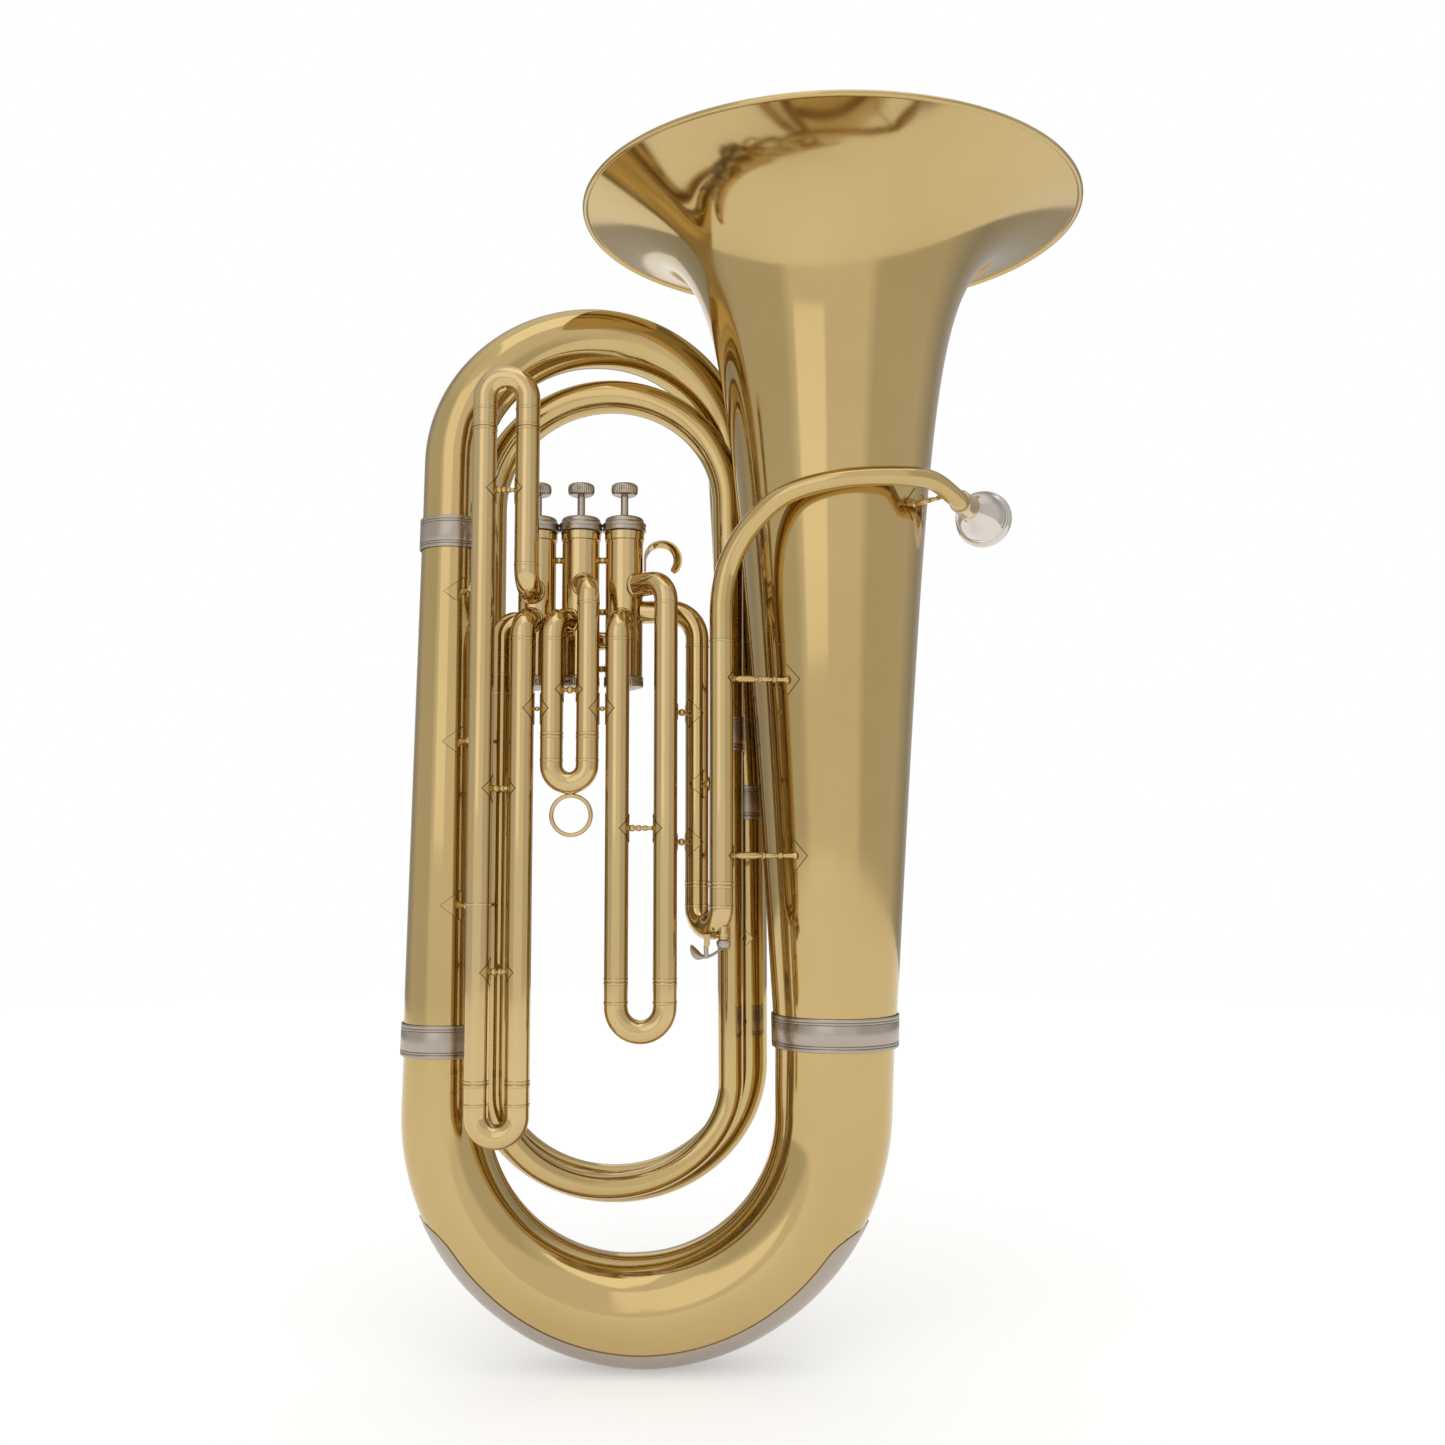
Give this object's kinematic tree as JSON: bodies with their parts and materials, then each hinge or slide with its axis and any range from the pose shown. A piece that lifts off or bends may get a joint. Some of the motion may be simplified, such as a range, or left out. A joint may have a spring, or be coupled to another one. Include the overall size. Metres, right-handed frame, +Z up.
{
  "type": "tuba",
  "caption": "Upright brass tuba with top-action piston valves, tuning slides that draw out, a water key and a mouthpiece that lifts out.",
  "frame": {"origin": "lowest point of the bottom bow's guard strip, where the tuba sits in a stand's cradle", "axes": "+Z up along the instrument towards the bell's mouth, +X towards the bell side, -Y towards the valve slides"},
  "size_m": [0.5272, 0.3936, 0.8897],
  "materials": {
    "lacquered_brass": "clear lacquer over polished yellow brass",
    "gold_brass": "clear lacquer over polished gold brass",
    "nickel_silver": "polished nickel silver",
    "silver_plate": "bright silver plate",
    "spring_steel": "bare spring wire",
    "cork": "natural cork"
  },
  "bodies": {
    "horn": {"bell_tail": "lacquered_brass", "bell_flare": "lacquered_brass", "bell_ferrule": "nickel_silver", "bottom_bow": "lacquered_brass", "bottom_bow_guard": "nickel_silver", "large_branch_lower_ferrule": "nickel_silver", "large_branch_upper_ferrule": "nickel_silver", "large_branch": "lacquered_brass", "large_top_bow": "lacquered_brass", "rear_inner_bow": "lacquered_brass", "rear_branch_ferrule": "nickel_silver", "inner_top_bow": "lacquered_brass", "front_inner_bow": "lacquered_brass", "front_branch_ferrule": "nickel_silver", "valve_exit_elbow": "gold_brass", "valve_casing_1": "gold_brass", "valve_casing_2": "gold_brass", "valve_casing_3": "gold_brass", "valve_top_cap_1": "nickel_silver", "valve_top_cap_2": "nickel_silver", "valve_top_cap_3": "nickel_silver", "valve_bottom_cap_1": "nickel_silver", "valve_bottom_cap_2": "nickel_silver", "valve_bottom_cap_3": "nickel_silver", "valve_link_12": "gold_brass", "valve_link_23": "gold_brass", "finger_hook": "gold_brass", "valve1_leg_left": "gold_brass", "valve1_leg_right": "gold_brass", "valve2_leg_left": "gold_brass", "valve2_leg_right": "gold_brass", "valve3_leg_lower": "gold_brass", "valve3_leg_upper": "gold_brass", "valve3_long_leg": "gold_brass", "leadpipe": "lacquered_brass", "mouthpiece_receiver": "gold_brass", "valve_inlet_leg": "gold_brass", "bell_brace_upper": "lacquered_brass", "bell_brace_lower": "lacquered_brass", "valve1_brace": "lacquered_brass", "valve3_brace": "lacquered_brass", "main_slide_brace": "lacquered_brass", "piston_spring_1": "spring_steel", "piston_spring_2": "spring_steel", "piston_spring_3": "spring_steel"},
    "valve_1": {"piston_1": "nickel_silver", "finger_button_1": "nickel_silver"},
    "valve_2": {"piston_2": "nickel_silver", "finger_button_2": "nickel_silver"},
    "valve_3": {"piston_3": "nickel_silver", "finger_button_3": "nickel_silver"},
    "first_slide": {"valve1_slide": "gold_brass"},
    "second_slide": {"valve2_slide": "gold_brass", "valve2_pull_ring": "gold_brass"},
    "third_lower_slide": {"valve3_lower_slide": "gold_brass"},
    "third_upper_slide": {"valve3_upper_slide": "gold_brass"},
    "main_slide": {"main_tuning_slide": "gold_brass"},
    "water_key": {"water_key_lever": "nickel_silver", "water_key_cork": "cork"},
    "mouthpiece": {"mouthpiece": "silver_plate"}
  },
  "joints": [
    {"name": "valve_1_press", "type": "slide", "parent": "horn", "child": "valve_1", "axis": [0, 0, -1], "range_m": [0, 0.015], "stiffness_N_per_m": 120, "springref_m": -0.025, "deforming": ["piston_spring_1"]},
    {"name": "valve_2_press", "type": "slide", "parent": "horn", "child": "valve_2", "axis": [0, 0, -1], "range_m": [0, 0.015], "stiffness_N_per_m": 120, "springref_m": -0.025, "deforming": ["piston_spring_2"]},
    {"name": "valve_3_press", "type": "slide", "parent": "horn", "child": "valve_3", "axis": [0, 0, -1], "range_m": [0, 0.015], "stiffness_N_per_m": 120, "springref_m": -0.025, "deforming": ["piston_spring_3"]},
    {"name": "first_slide_pull", "type": "slide", "parent": "horn", "child": "first_slide", "axis": [0, 0, -1], "range_m": [0, 0.08]},
    {"name": "second_slide_pull", "type": "slide", "parent": "horn", "child": "second_slide", "axis": [0, 0, -1], "range_m": [0, 0.045]},
    {"name": "third_lower_slide_pull", "type": "slide", "parent": "horn", "child": "third_lower_slide", "axis": [0, 0, -1], "range_m": [0, 0.08]},
    {"name": "third_upper_slide_pull", "type": "slide", "parent": "horn", "child": "third_upper_slide", "axis": [0, 0, 1], "range_m": [0, 0.06]},
    {"name": "main_slide_pull", "type": "slide", "parent": "horn", "child": "main_slide", "axis": [0, 0, -1], "range_m": [0, 0.075]},
    {"name": "water_key_press", "type": "hinge", "parent": "main_slide", "child": "water_key", "pos_m": [0.052, -0.062, 0.316], "axis": [0, 1, 0], "range_deg": [0, 20], "stiffness_Nm_per_rad": 0.12, "springref_deg": -17.19},
    {"name": "mouthpiece_pull", "type": "slide", "parent": "horn", "child": "mouthpiece", "axis": [0.3901, 0.9203, 0.03], "range_m": [0, 0.03]}
  ]
}
